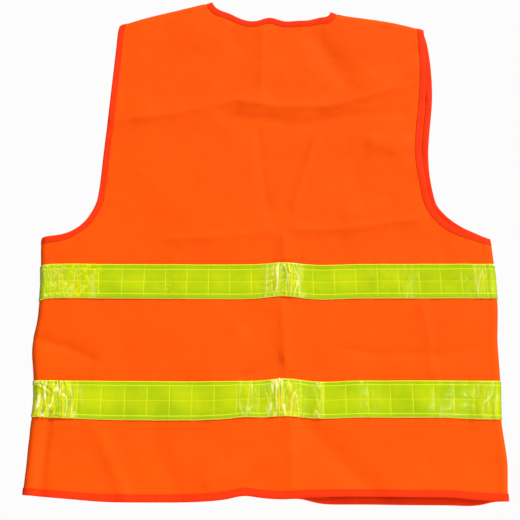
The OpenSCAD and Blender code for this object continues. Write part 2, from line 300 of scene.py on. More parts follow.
def on_cloth(layer, s, t, h):
    """The place, in metres, of flat cloth points, h millimetres out from the middle of the cloth."""
    s, t = np.asarray(s, float), np.asarray(t, float)
    place = middle_of_cloth(layer, s, t)
    # Steps toward the middle of the panel, so that two panels agree on their shared seam.
    step = np.where(s > 0, 0.5, -0.5)
    along_s = (place - middle_of_cloth(layer, s - step, t)) * np.sign(step)[..., None]
    along_t = place - middle_of_cloth(layer, s, t - 0.5)
    out = np.cross(along_s, along_t)
    out /= np.linalg.norm(out, axis=-1, keepdims=True)
    if layer != "back":
        out = -out
    return (place + out * (h + folds(layer, s, t))[..., None]) * METRE


def fillet(a, b, c, r, steps=12):
    """Points that round the corner b between a and c."""
    a, b, c = (np.array(p, float) for p in (a, b, c))
    into, out = (b - a) / np.linalg.norm(b - a), (c - b) / np.linalg.norm(c - b)
    turn = into[0] * out[1] - into[1] * out[0]
    angle = math.atan2(turn, into @ out)
    side = 1 if turn > 0 else -1
    start = b - r * math.tan(abs(angle) / 2) * into
    centre = start + side * r * np.array([-into[1], into[0]])
    begin = math.atan2(start[1] - centre[1], start[0] - centre[0])
    return [centre + r * np.array([math.cos(begin + angle * i / steps), math.sin(begin + angle * i / steps)])
            for i in range(steps + 1)]


def over_seam(x, z):
    """A point on a shoulder line, moved up to where the flat cloth meets its seam."""
    return (x + turn_spare * slope_sin, z + turn_spare * slope_cos)


def flipped(path):
    return [(-p[0], p[1]) for p in path]


armhole_corner_x = shoulder_tip[0] + armhole_flare
armhole_corner = (armhole_corner_x, armpit_z + (side_x - armhole_corner_x) * math.tan(armpit_slope))
armpit = (seam_s, armpit_z)
armhole = [over_seam(*shoulder_tip), *fillet(shoulder_tip, armhole_corner, armpit, armhole_r), armpit]
neck_point = over_seam(neck_x, 0)
back_neck = [(neck_x * math.sin(math.pi / 2 * i / 20), -back_neck_drop * math.cos(math.pi / 2 * i / 20))
             for i in range(-20, 21)]
back_neck = [(-neck_point[0], neck_point[1]), *back_neck, neck_point]
back_outline = [*back_neck, *armhole, (seam_s, hem_z), (-seam_s, hem_z), *reversed(flipped(armhole))]


def nearest_on(outline, points):
    """How far each point is from a closed outline, and the nearest place on it."""
    corners = np.array(outline, float)
    best = np.full(len(points), np.inf)
    place = np.zeros((len(points), 2))
    for a, b in zip(corners, np.roll(corners, -1, axis=0)):
        run = b - a
        share = np.clip((points - a) @ run / max(run @ run, 1e-9), 0, 1)
        spot = a + share[:, None] * run
        away = np.linalg.norm(points - spot, axis=1)
        place = np.where((away < best)[:, None], spot, place)
        best = np.minimum(best, away)
    return best, place


def is_inside(outline, points):
    corners = np.array(outline, float)
    inside = np.zeros(len(points), bool)
    for a, b in zip(corners, np.roll(corners, -1, axis=0)):
        crosses = (a[1] > points[:, 1]) != (b[1] > points[:, 1])
        at = a[0] + (points[:, 1] - a[1]) * (b[0] - a[0]) / (b[1] - a[1] + 1e-12)
        inside ^= crosses & (points[:, 0] < at)
    return inside


def rectangle(low, high, columns, rows):
    """A flat rectangle between two corners, in even cells."""
    low, high = np.array(low, float), np.array(high, float)
    bm = bmesh.new()
    bmesh.ops.create_grid(bm, x_segments=int(columns), y_segments=int(rows), size=0.5)
    bmesh.ops.transform(bm, matrix=Matrix.Translation((*((low + high) / 2), 0))
                        @ Matrix.Diagonal((*(high - low), 1, 1)), verts=bm.verts)
    return bm


lean_depth = 160.0


def cut_cloth(outline, cell):
    """A flat cut of cloth: a grid of square cells, trimmed to the outline."""
    corners = np.array(outline, float)
    low, high = corners.min(0), corners.max(0)
    bm = rectangle(low, high, *np.ceil((high - low) / cell))
    # The rows lean with the shoulder seams near the top, so that the seams cut no cell.
    for v in bm.verts:
        beyond_neck = max(abs(v.co.x) - abs(neck_point[0]), 0)
        lean = float(smooth((v.co.y + lean_depth) / (lean_depth + neck_point[1])))
        v.co.y -= lean * beyond_neck * math.tan(shoulder_slope)
    points = np.array([v.co[:2] for v in bm.verts])
    away, _ = nearest_on(outline, points)
    keep = is_inside(outline, points) | (away < 0.02)
    bm.verts.ensure_lookup_table()
    bmesh.ops.delete(bm, geom=[bm.verts[i] for i in np.flatnonzero(~keep)], context="VERTS")
    edge = [v for v in bm.verts if v.is_boundary]
    _, spots = nearest_on(outline, np.array([v.co[:2] for v in edge]))
    for v, spot in zip(edge, spots):
        v.co.x, v.co.y = spot
    return bm


def keep_cut(bm, shift=lambda s: 0):
    """Stores each point's place in the flat cut, in metres, as the UV that patterns follow."""
    uv = bm.loops.layers.uv.new("cut")
    for face in bm.faces:
        for loop in face.loops:
            flat = loop.vert.co
            loop[uv].uv = ((flat.x + shift(flat.x)) * METRE, flat.y * METRE)


def as_piece(name, bm, material, thickness=0.0):
    """An object from a mesh in place, its faces smooth and outward, given a thickness if it is one skin."""
    mesh = bpy.data.meshes.new(name)
    bm.to_mesh(mesh)
    bm.free()
    piece = bpy.data.objects.new(name, mesh)
    bpy.context.scene.collection.objects.link(piece)
    piece.data.materials.append(material)
    if thickness:
        wall = piece.modifiers.new("wall", "SOLIDIFY")
        wall.thickness = thickness * METRE
        wall.offset = 0
        bpy.context.view_layer.update()
        done = bpy.data.meshes.new_from_object(piece.evaluated_get(bpy.context.evaluated_depsgraph_get()))
        piece.modifiers.clear()
        piece.data = done
        done.name = name
    for face in piece.data.polygons:
        face.use_smooth = True
    return piece


def lay_on(bm, layer, height):
    """Moves a flat mesh onto its layer of the vest. height gives each point's h, in millimetres."""
    flat = np.array([v.co[:2] for v in bm.verts])
    places = on_cloth(layer, flat[:, 0], flat[:, 1], height(flat[:, 0], flat[:, 1]))
    for v, place in zip(bm.verts, places):
        v.co = place
    if layer != "back":
        bmesh.ops.reverse_faces(bm, faces=bm.faces)


def linear(code):
    """An sRGB hex colour as linear red, green, blue and alpha."""
    parts = [int(code[i:i + 2], 16) / 255 for i in (0, 2, 4)]
    return [p / 12.92 if p <= 0.04045 else ((p + 0.055) / 1.055) ** 2.4 for p in parts] + [1]


def node(owner, kind, inputs=(), **settings):
    """Adds a shader node to a material or the world; an input is a value or another node's output."""
    made = owner.node_tree.nodes.new("ShaderNode" + kind)
    for key, value in settings.items():
        setattr(made, key, value)
    for key, value in dict(inputs).items():
        if isinstance(value, bpy.types.NodeSocket):
            owner.node_tree.links.new(value, made.inputs[key])
        else:
            made.inputs[key].default_value = value
    return made


def new_material(name):
    material = bpy.data.materials.new(name)
    material.use_nodes = True
    material.node_tree.nodes.clear()
    return material


def finish_material(material, shader):
    node(material, "OutputMaterial", {"Surface": shader.outputs["BSDF"]})
    return material


def knit_material(name, plain, deep, wale_mm):
    """Fluorescent polyester warp knit: matt, very even in colour, with fine upright wales. The real
    wales are 0.8 mm apart. They are drawn wider, so that they show from a metre away."""
    m = new_material(name)
    cut = node(m, "UVMap", uv_map="cut")
    mottle = node(m, "TexNoise", {"Vector": cut.outputs["UV"], "Scale": 38, "Detail": 4, "Roughness": 0.6})
    grain = node(m, "TexNoise", {"Vector": cut.outputs["UV"], "Scale": 420, "Detail": 2, "Roughness": 0.7})
    # At a Scale of 1, this texture's waves are tau / 20 apart.
    wales, courses = (
        node(m, "TexWave", {"Vector": cut.outputs["UV"], "Scale": math.tau / 20 / (pitch * METRE),
                            "Distortion": 0.8, "Detail": 1, "Detail Scale": 90},
             wave_type="BANDS", bands_direction=direction)
        for direction, pitch in (("X", wale_mm), ("Y", 1.3 * wale_mm)))
    weave = node(m, "Math", {0: wales.outputs["Fac"], 1: courses.outputs["Fac"]}, operation="MULTIPLY")
    uneven = node(m, "Math", {0: mottle.outputs["Fac"], 1: grain.outputs["Fac"]}, operation="MULTIPLY")
    tone = node(m, "MapRange", {"Value": uneven.outputs[0], "From Min": 0.12, "From Max": 0.42})
    shade = node(m, "Math", {0: tone.outputs[0], 1: weave.outputs[0], 2: 0.2}, operation="MULTIPLY_ADD")
    colour = node(m, "MixRGB", {"Fac": shade.outputs[0], "Color1": linear(deep), "Color2": linear(plain)})
    height = node(m, "Math", {0: weave.outputs[0], 1: grain.outputs["Fac"]}, operation="ADD")
    relief = node(m, "Bump", {"Height": height.outputs[0], "Strength": 0.35, "Distance": 0.0004})
    shader = node(m, "BsdfPrincipled", {
        "Base Color": colour.outputs[0], "Roughness": 0.75, "Specular IOR Level": 0.06,
        "Sheen Weight": 0.05, "Sheen Roughness": 0.5, "Sheen Tint": linear(plain),
        "Normal": relief.outputs[0]})
    return finish_material(m, shader)


orange_knit = knit_material("polyester_knit_orange", "ff6208", "fb5004", wale_mm=3.0175)

back_bm = cut_cloth(back_outline, 3.4)
keep_cut(back_bm)
lay_on(back_bm, "back", lambda s, t: 0 * s)
back_panel = as_piece("back_panel_cloth", back_bm, orange_knit, visible_cloth_t)
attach(back_panel, "root")
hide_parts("back_panel")

# ---- Front panels ----
# Two cuts of the same knit. Each runs from its side seam to a bound edge past the middle, and is pressed flat
# along a line from the neck point to the hem.

front_edge_x = 25.0
front_neck_drop = 330.0
front_neck_r = 150.0

v_bottom = (-front_edge_x, -front_neck_drop)
hem_corner = (-front_edge_x, hem_z)
front_edge = [neck_point, *fillet((neck_x, 0), v_bottom, hem_corner, front_neck_r), hem_corner]
front_outline = [*front_edge, (seam_s, hem_z), *reversed(armhole)]


def on_side(path, side):
    return path if side > 0 else flipped(path)


def fold_with(piece):
    """Bakes the piece's transform into its mesh. It gets no body and does not bend on the fold line."""
    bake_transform(piece)


def lies_on(piece, layer):
    """A piece on the back rides the body; one on a front has its transform baked into its mesh."""
    if layer in front_layers:
        fold_with(piece)
    else:
        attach(piece, "root")


for layer, side in front_layers.items():
    front_bm = cut_cloth(on_side(front_outline, side), 4.0)
    # Finer cells along the fold line, in the strip where the cloth is pressed flat.
    bending = {v for v in front_bm.verts
               if abs(past_fold_line(layer, v.co.x, v.co.y) - pressed_middle) < pressed_reach}
    edges = [e for e in front_bm.edges if bending.issuperset(e.verts)]
    bmesh.ops.subdivide_edges(front_bm, edges=edges, cuts=2, use_grid_fill=True)
    keep_cut(front_bm)
    lay_on(front_bm, layer, lambda s, t: 0 * s)
    panel = as_piece(layer + "_cloth", front_bm, orange_knit, visible_cloth_t)
    fold_with(panel)
    prefix = layer.split("_")[0]
    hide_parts(prefix + "_panel_side", prefix + "_panel_flap")

# ---- Reflective bands ----
# Clear glossy PVC film welded over a prismatic film, fluorescent yellow. The welds leave a lattice:
# a line beside each edge, one along the middle, and one across every 30 mm. The cells puff up.

weld_pitch = 30.0
weld_margins = {"upper": 7.3, "lower": 5.6}
weld_phases = {"upper": 3.3, "lower": -15.9}
weld_puff = 0.45
band_film_t = 0.5
band_cell = 1.6
# Where a weld presses it down, the film's underside is this far out from the middle of the cloth.
band_base = 0.55
# The bands on the fronts end short of the edge tape.
front_band_x = front_edge_x - 10


def band_material(name, phase, top, weld_margin):
    """Welded PVC: a clear glossy skin over yellow-green prisms, with brighter yellow weld lines.
    Crumpled places turn pale yellow, because the skin has lifted off the prisms there."""
    m = new_material(name)
    cut = node(m, "UVMap", uv_map="cut")
    axes = node(m, "SeparateXYZ", {"Vector": cut.outputs["UV"]})

    def line(coordinate, places, half_width):
        """1 on each line at the given places, in millimetres, and 0 between them."""
        total = None
        for place in places:
            away = node(m, "Math", {0: coordinate, 1: -place * METRE}, operation="ADD")
            away = node(m, "Math", {0: away.outputs[0]}, operation="ABSOLUTE")
            on = node(m, "MapRange", {"Value": away.outputs[0], "From Min": half_width * METRE * 1.5,
                                      "From Max": half_width * METRE * 0.5})
            if total is not None:
                on = node(m, "Math", {0: total.outputs[0], 1: on.outputs[0]}, operation="MAXIMUM")
            total = on
        return total

    # A hundred whole cells are added first, because the remainder must not be taken below zero.
    shifted = node(m, "Math", {0: axes.outputs["X"], 1: (100.5 * weld_pitch - phase) * METRE},
                   operation="ADD")
    wrapped = node(m, "Math", {0: shifted.outputs[0], 1: weld_pitch * METRE}, operation="MODULO")
    uprights = line(wrapped.outputs[0], [weld_pitch / 2], 0.5)
    in_cells = line(axes.outputs["Y"], [top - band_w / 2], band_w / 2 - weld_margin)
    uprights = node(m, "Math", {0: uprights.outputs[0], 1: in_cells.outputs[0]}, operation="MULTIPLY")
    borders = line(axes.outputs["Y"], [top - weld_margin, top - band_w + weld_margin], 0.6)
    middle = line(axes.outputs["Y"], [top - band_w / 2], 0.4)
    edges = line(axes.outputs["Y"], [top, top - band_w], 1.1)
    middle = node(m, "Math", {0: middle.outputs[0], 1: 0.8}, operation="MULTIPLY")
    welds = node(m, "Math", {0: uprights.outputs[0], 1: borders.outputs[0]}, operation="MAXIMUM")
    welds = node(m, "Math", {0: welds.outputs[0], 1: middle.outputs[0]}, operation="MAXIMUM")
    welds = node(m, "Math", {0: welds.outputs[0], 1: edges.outputs[0]}, operation="MAXIMUM")
    margin = node(m, "Math", {0: 1.0, 1: in_cells.outputs[0]}, operation="SUBTRACT")
    patches = node(m, "TexNoise", {"Vector": cut.outputs["UV"], "Scale": 24, "Detail": 3})
    tone = node(m, "MapRange", {"Value": patches.outputs["Fac"], "From Min": 0.35, "From Max": 0.65})
    base = node(m, "MixRGB", {"Fac": tone.outputs[0], "Color1": linear("b0cb00"), "Color2": linear("c6d802")})
    base = node(m, "MixRGB", {"Fac": margin.outputs[0], "Color1": base.outputs[0],
                              "Color2": linear("9cc804")})
    crumpled = node(m, "Attribute", attribute_name="crumple")
    # Crinkles run up and down the band, a few millimetres apart.
    tall = node(m, "Mapping", {"Vector": cut.outputs["UV"], "Scale": (150, 30, 1), "Rotation": (0, 0, 0.12)})
    crinkle = node(m, "TexNoise", {"Vector": tall.outputs["Vector"], "Scale": 1, "Detail": 3,
                                   "Roughness": 0.55, "Distortion": 0.6})
    sharp = node(m, "MapRange", {"Value": crinkle.outputs["Fac"], "From Min": 0.42, "From Max": 0.62})
    yellowed = node(m, "Math", {0: crumpled.outputs["Fac"], 1: sharp.outputs[0]}, operation="MULTIPLY")
    base = node(m, "MixRGB", {"Fac": yellowed.outputs[0], "Color1": base.outputs[0],
                              "Color2": linear("e2de18")})
    # Painted glints: fine pale lines along the crinkles in the crumpled places, a highlight painted into the
    # colour.
    creases = node(m, "TexNoise", {"Vector": tall.outputs["Vector"], "Scale": 0.55, "Detail": 1,
                                   "Distortion": 0.4})
    off_crease = node(m, "Math", {0: creases.outputs["Fac"], 1: -0.5}, operation="ADD")
    off_crease = node(m, "Math", {0: off_crease.outputs[0]}, operation="ABSOLUTE")
    on_crease = node(m, "MapRange", {"Value": off_crease.outputs[0], "From Min": 0.03, "From Max": 0.012})
    painted_glint_lines = node(m, "Math", {0: on_crease.outputs[0], 1: crumpled.outputs["Fac"]}, operation="MULTIPLY")
    base = node(m, "MixRGB", {"Fac": painted_glint_lines.outputs[0], "Color1": base.outputs[0],
                              "Color2": linear("f8f59c")})
    # Bubbles about 5 mm apart, where the skin has come off the prisms.
    bubbled = node(m, "Attribute", attribute_name="bubbles")
    bubbles = node(m, "TexVoronoi", {"Vector": cut.outputs["UV"], "Scale": 210, "Randomness": 1})
    clumps = node(m, "TexNoise", {"Vector": cut.outputs["UV"], "Scale": 70, "Detail": 1})
    reach = node(m, "Math", {0: clumps.outputs["Fac"], 1: bubbled.outputs["Fac"]}, operation="MULTIPLY")
    reach = node(m, "Math", {0: reach.outputs[0], 1: bubbles.outputs["Distance"]}, operation="SUBTRACT")
    spots = node(m, "MapRange", {"Value": reach.outputs[0], "From Min": 0.0, "From Max": 0.35})
    base = node(m, "MixRGB", {"Fac": spots.outputs[0], "Color1": base.outputs[0], "Color2": linear("e2e00a")})
    base = node(m, "MixRGB", {"Fac": welds.outputs[0], "Color1": base.outputs[0], "Color2": linear("e8ea20")})
    # Prisms of 0.3 mm are too fine to show, so they are drawn as rows 2.3 mm apart.
    prisms = node(m, "TexWave", {"Vector": cut.outputs["UV"], "Scale": 195, "Distortion": 0.4, "Detail": 0},
                  wave_type="BANDS", bands_direction="DIAGONAL")
    ripple = node(m, "TexNoise", {"Vector": cut.outputs["UV"], "Scale": 160, "Detail": 3, "Roughness": 0.6})
    fine = node(m, "Math", {0: ripple.outputs["Fac"], 1: prisms.outputs["Fac"]}, operation="MULTIPLY")
    crease = node(m, "Math", {0: crinkle.outputs["Fac"], 1: crumpled.outputs["Fac"]}, operation="MULTIPLY")
    height = node(m, "Math", {0: crease.outputs[0], 1: 14.0, 2: fine.outputs[0]}, operation="MULTIPLY_ADD")
    relief = node(m, "Bump", {"Height": height.outputs[0], "Strength": 0.6, "Distance": 0.0004})
    shader = node(m, "BsdfPrincipled", {
        "Base Color": base.outputs[0], "Roughness": 0.12, "Specular IOR Level": 0.5, "IOR": 1.5,
        "Normal": relief.outputs[0]})
    return finish_material(m, shader)


def weld_relief(s, t, phase, top, weld_margin):
    """The film's height over the cloth: puffed in the cells, and pressed flat along the welds."""
    from_upright = np.abs((s - phase + weld_pitch / 2) % weld_pitch - weld_pitch / 2)
    down = top - t
    rows = np.array([0, weld_margin, band_w / 2, band_w - weld_margin, band_w])
    from_row = np.min(np.abs(down[..., None] - rows), axis=-1)
    in_cells = (down > weld_margin) & (down < band_w - weld_margin)
    from_weld = np.where(in_cells, np.minimum(from_upright, from_row), from_row)
    return weld_puff * (1 - np.exp(-from_weld / 2.2))


# Where the film has been crushed by a fold, as (place across, width, strength).
crumples = {
    ("back", "upper"): [(22, 26, 1.0), (-272, 38, 0.3), (196, 8, 0.15), (300, 14, 0.3)],
    ("back", "lower"): [(22, 22, 1.0), (-290, 34, 1.2), (-28, 12, 0.35), (66, 8, 0.5), (302, 14, 0.45)],
    ("left_front", "upper"): [(-112, 15, 0.9), (-262, 20, 0.6)],
    ("left_front", "lower"): [(-126, 15, 0.9), (-270, 16, 0.7)],
    ("right_front", "upper"): [(108, 15, 0.9), (256, 18, 0.6)],
    ("right_front", "lower"): [(118, 15, 0.9), (262, 18, 0.7)],
}


def taken_up(s):
    """The length of film that the crumples at the middle take up, for the weld pattern."""
    return -3.7 * smooth((30 - s) / 40)


def crumple_share(spots, s):
    return np.clip(sum(strength * bump(s, place, width, 4) for place, width, strength in spots), 0, 1.2)


def bubble_share(layer, which, s):
    if (layer, which) != ("back", "upper"):
        return 0.35 * bump(s, 150, 40)
    return 1.1 * bump(s, -268, 48, 4) + 0.75 * bump(s, -138, 22) + 0.6 * bump(s, 150, 40)


def crumple_relief(spots, s, t, seed):
    """Sharp upright crinkles in the crushed places, a few millimetres apart."""
    lean = s + 0.35 * t * rumple(s, t, 90, seed)
    fine = np.abs(rumple(lean, t * 0.22, 6.5, seed + 1)) + 0.6 * np.abs(rumple(lean, t * 0.3, 3.4, seed + 2))
    inside = smooth((seam_s - np.abs(s) - 4) / 14)
    return crumple_share(spots, s) * inside * (2.9 * fine - 0.5)


band_piece_names = []
for which, top in zip(("upper", "lower"), band_tops):
    film = band_material("welded_pvc_" + which, weld_phases[which], top, weld_margins[which])
    for layer in ("back", "left_front", "right_front"):
        first = -front_band_x if layer == "right_front" else -seam_s
        last = front_band_x if layer == "left_front" else seam_s
        band_bm = rectangle((first, top - band_w), (last, top), round((last - first) / band_cell),
                            round(band_w / band_cell))
        keep_cut(band_bm, taken_up)
        spots = crumples[(layer, which)]
        flat = np.array([v.co[:2] for v in band_bm.verts])
        phase = weld_phases[which]
        seed = 21 + 7 * band_tops.index(top) + 3 * len(band_piece_names)
        lay_on(band_bm, layer, lambda s, t: (
            band_base + band_film_t / 2 + weld_relief(s + taken_up(s), t, phase, top, weld_margins[which])
            + crumple_relief(spots, s, t, seed)))
        band = as_piece(layer + "_" + which + "_film", band_bm, film, band_film_t)
        skins = len(band.data.vertices) // len(flat)
        for damage, share in (("crumple", np.clip(crumple_share(spots, flat[:, 0]), 0, 1)),
                              ("bubbles", bubble_share(layer, which, flat[:, 0]))):
            on_points = band.data.attributes.new(damage, "FLOAT", "POINT")
            on_points.data.foreach_set("value", np.tile(share, skins).astype(np.float32))
        lies_on(band, layer)
        if layer == "back":
            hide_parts("back_" + which + "_band")
        else:
            prefix = layer.split("_")[0]
            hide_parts(prefix + "_" + which + "_band_side", prefix + "_" + which + "_band_flap")
        band_piece_names.append(band.name)

# ---- Bindings ----
# Woven polyester tape, redder than the knit, folded over every raw edge and sewn through with one
# row of lockstitch. It stands a little proud and is puffed between its fold and its stitching.

thread_row = 7.0
hem_lift = 0.35
# Half of the tape's section, from its inner edge over the face to its fold.
binding_face = [(9.0, 0.30), (9.0, 0.66), (8.3, 0.80), (thread_row, 0.70), (5.0, 0.94), (2.4, 0.97),
                (0.6, 0.85), (-0.6, 0.35)]
binding_section = binding_face + [(u, -h) for u, h in reversed(binding_face)]


def binding_material(name, plain, deep):
    """Woven polyester tape: matt, with fine ribs across it and a darker line where it is sewn down.
    The ribs are drawn 2 mm apart, wider than real ones, so that they show."""
    m = new_material(name)
    cut = node(m, "UVMap", uv_map="cut")
    ribs = node(m, "TexWave", {"Vector": cut.outputs["UV"], "Scale": 160, "Distortion": 0.6, "Detail": 1},
                wave_type="BANDS", bands_direction="X")
    grain = node(m, "TexNoise", {"Vector": cut.outputs["UV"], "Scale": 110, "Detail": 3})
    tone = node(m, "Math", {0: ribs.outputs["Fac"], 1: grain.outputs["Fac"]}, operation="MULTIPLY")
    axes = node(m, "SeparateXYZ", {"Vector": cut.outputs["UV"]})
    across = node(m, "Math", {0: axes.outputs["Y"], 1: -thread_row * METRE}, operation="ADD")
    across = node(m, "Math", {0: across.outputs[0]}, operation="ABSOLUTE")
    open_cloth = node(m, "MapRange", {"Value": across.outputs[0], "From Min": 0.0003, "From Max": 0.0016})
    tone = node(m, "Math", {0: tone.outputs[0], 1: open_cloth.outputs[0]}, operation="MULTIPLY")
    colour = node(m, "MixRGB", {"Fac": tone.outputs[0], "Color1": linear(deep), "Color2": linear(plain)})
    relief = node(m, "Bump", {"Height": ribs.outputs["Fac"], "Strength": 0.3, "Distance": 0.0003})
    shader = node(m, "BsdfPrincipled", {
        "Base Color": colour.outputs[0], "Roughness": 0.7, "Specular IOR Level": 0.06,
        "Sheen Weight": 0.08, "Sheen Tint": linear(plain), "Normal": relief.outputs[0]})
    return finish_material(m, shader)


binding_tape = binding_material("woven_polyester_tape_red_orange", "ff4812", "fa3408")


def stations(path, pitch, inward, first_seam, last_seam):
    """Even points along a path, the direction into the cloth at each, and the length so far. At an
    end on a seam, the direction follows the seam, so that two tapes meet there in a mitre."""
    path = np.array(path, float)
    lengths = np.concatenate([[0], np.cumsum(np.linalg.norm(np.diff(path, axis=0), axis=1))])
    at = np.linspace(0, lengths[-1], max(2, round(lengths[-1] / pitch) + 1))

    def place(distance):
        distance = np.clip(distance, 0, lengths[-1])
        return np.stack([np.interp(distance, lengths, path[:, k]) for k in (0, 1)], -1)

    run = place(at + 3) - place(at - 3)
    run /= np.linalg.norm(run, axis=1, keepdims=True)
    into = inward * np.stack([-run[:, 1], run[:, 0]], -1)
    for end, seam in ((0, first_seam), (-1, last_seam)):
        if seam is not None:
            mitre = np.array(seam) / (np.array(seam) @ into[end])
            fade = np.clip(1 - np.abs(at - at[end]) / 12, 0, 1)[:, None]
            into = into + fade * (mitre - into[end])
    return place(at), into, at


def sweep(name, legs, section, material, pitch=4.0):
    """A closed section drawn along legs of (layer, path, inward, first seam, last seam); each leg
    starts where the last one ends. The section's first number runs into the cloth from its edge,
    and its second stands out of the cloth."""
    section = np.array([*section, section[0]])
    rings, lengths = [], []
    for number, (layer, *leg) in enumerate(legs):
        points, into, at = stations(leg[0], pitch, *leg[1:])
        ring = on_cloth(layer, points[:, None, 0] + section[None, :, 0] * into[:, None, 0],
                        points[:, None, 1] + section[None, :, 0] * into[:, None, 1],
                        np.broadcast_to(section[None, :, 1], (len(points), len(section))))
        start = lengths[-1] if lengths else 0
        skip = 1 if number else 0
        rings.extend(ring[skip:])
        lengths.extend(start + at[skip:])
    rings = np.array(rings)
    rows, columns = len(rings) - 1, len(section) - 1
    bm = bmesh.new()
    bmesh.ops.create_grid(bm, x_segments=rows, y_segments=columns, size=0.5)
    uv = bm.loops.layers.uv.new("cut")
    bm.verts.index_update()
    step = [(round((v.co.x + 0.5) * rows), round((v.co.y + 0.5) * columns)) for v in bm.verts]
    for face in bm.faces:
        for loop in face.loops:
            i, j = step[loop.vert.index]
            loop[uv].uv = (lengths[i] * METRE, section[j, 0] * METRE)
    for v, (i, j) in zip(bm.verts, step):
        v.co = rings[i, j]
    bmesh.ops.remove_doubles(bm, verts=bm.verts, dist=1e-6)
    bmesh.ops.holes_fill(bm, edges=[e for e in bm.edges if e.is_boundary], sides=0)
    bmesh.ops.recalc_face_normals(bm, faces=bm.faces)
    return as_piece(name, bm, material)


# Each tape: the layer it lies on, the legs it is drawn along, and the CAD nodes it stands for.
tape_runs = {"neck_tape": ("back", [("back", list(reversed(back_neck)), 1, (slope_cos, -slope_sin),
                                     (-slope_cos, -slope_sin))], ["neck_binding"]),
             "hem_tape_back": ("back", [("back", [(-seam_s, hem_z), (seam_s, hem_z)], 1, None, None)],
                               ["hem_binding"])}
for layer, side in front_layers.items():
    prefix = layer.split("_")[0]
    arm = on_side(armhole, side)
    shoulder = (side * slope_cos, -slope_sin)
    tape_runs[prefix + "_armhole_tape"] = ("back", [
        ("back", list(reversed(arm)), side, (0, -1), shoulder),
        (layer, arm, -side, shoulder, (0, -1))], [prefix + "_armhole_binding"])
    edge = on_side([*front_edge[:-1], (front_edge[-1][0], hem_z + 7)], side)
    tape_runs[prefix + "_edge_tape"] = (layer, [(layer, edge, side, shoulder, None)],
                                        [prefix + "_edge_binding", "neck_binding"])
    hem = on_side([(seam_s, hem_z), (-front_edge_x, hem_z)], side)
    tape_runs[prefix + "_hem_tape"] = (layer, [(layer, hem, -side, None, None)],
                                       [prefix + "_hem_flap", "hem_binding"])


def lift_of(name, rides):
    """The hem tape of a front is sewn on last, over the end of the edge tape."""
    return hem_lift if "hem" in name and rides != "back" else 0


for name, (rides, legs, covered) in tape_runs.items():
    section = [(u, h + math.copysign(lift_of(name, rides), h)) for u, h in binding_section]
    tape = sweep(name, legs, section, binding_tape)
    lies_on(tape, rides)
    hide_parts(*covered)

# ---- Seams ----
# The fronts are joined to the back at the sides and shoulders by an overlock in soft textured
# polyester thread. The allowance, both layers of the knit, lies inside.

# Where each allowance starts and stops: heights at a side, and lengths from the neck at a shoulder.
seam_ends = {"side": (-401.0, -735.0), "shoulder": (12.0, 132.0)}
allowance_fold = 0.6
overlock_pitch = 3.2
overlock_bite = 2.6


def thread_material(name, colour):
    """Spun polyester sewing thread: slightly shiny, twisted."""
    m = new_material(name)
    place = node(m, "TexCoord")
    twist = node(m, "TexNoise", {"Vector": place.outputs["Object"], "Scale": 2500})
    shade = node(m, "MixRGB", {"Fac": twist.outputs["Fac"], "Color1": linear(colour),
                               "Color2": [0.75 * c for c in linear(colour)[:3]] + [1]})
    shader = node(m, "BsdfPrincipled", {"Base Color": shade.outputs[0], "Roughness": 0.5,
                                        "Specular IOR Level": 0.3})
    return finish_material(m, shader)


orange_thread = thread_material("polyester_thread_orange", "f04a1a")
overlock_thread = thread_material("textured_polyester_thread_orange", "f2601c")
yellow_thread = thread_material("polyester_thread_yellow", "c8dc20")


def seam_frame(kind, side, share):
    """The seam's place, and the direction from it into the vest, at each share of its length."""
    first, last = seam_ends[kind]
    at = first + np.asarray(share, float) * (last - first)
    if kind == "side":
        s, t = np.full(at.shape, side * seam_s), at
        into = [-side, 0, 0]
    else:
        s = side * (neck_x + at * slope_cos + turn_spare * slope_sin)
        t = -at * slope_sin + turn_spare * slope_cos
        into = [-side * slope_sin, 0, -slope_cos]
    return middle_of_cloth("back", s, t), np.broadcast_to(into, (*at.shape, 3))


def copies(bm, count):
    """Copies the whole mesh until there are count of it. Each point knows its copy and its place in it."""
    copy, corner = bm.verts.layers.int.new("copy"), bm.verts.layers.int.new("corner")
    for number, v in enumerate(bm.verts):
        v[corner] = number
    made = 1
    while made < count:
        more = min(made, count - made)
        geom = [v for v in bm.verts if v[copy] < more]
        geom += [part for group in (bm.edges, bm.faces) for part in group if part.verts[0][copy] < more]
        for part in bmesh.ops.duplicate(bm, geom=geom)["geom"]:
            if isinstance(part, bmesh.types.BMVert):
                part[copy] += made
        made += more
    return [(v[copy], v[corner]) for v in bm.verts]


def bars(name, centres, runs, outs, length, width, height, material):
    """Many small stitches: each a slim spindle lying along its run and pressed into the cloth."""
    centres, runs, outs = (np.array(rows, float) for rows in (centres, runs, outs))
    runs /= np.linalg.norm(runs, axis=1, keepdims=True)
    sideways = np.cross(outs, runs)
    sideways /= np.linalg.norm(sideways, axis=1, keepdims=True)
    outs = np.cross(runs, sideways)
    bm = bmesh.new()
    bmesh.ops.create_uvsphere(bm, u_segments=6, v_segments=4, radius=0.5)
    shape = np.array([v.co[:] for v in bm.verts]) * np.array([width, height, length]) * METRE
    numbers = copies(bm, len(centres))
    axes = np.stack([sideways, outs, runs], 1)
    places = np.einsum("vk,nkc->nvc", shape, axes) + centres[:, None]
    for v, (copy, corner) in zip(bm.verts, numbers):
        v.co = places[copy, corner]
    bm.normal_update()
    return as_piece(name, bm, material)


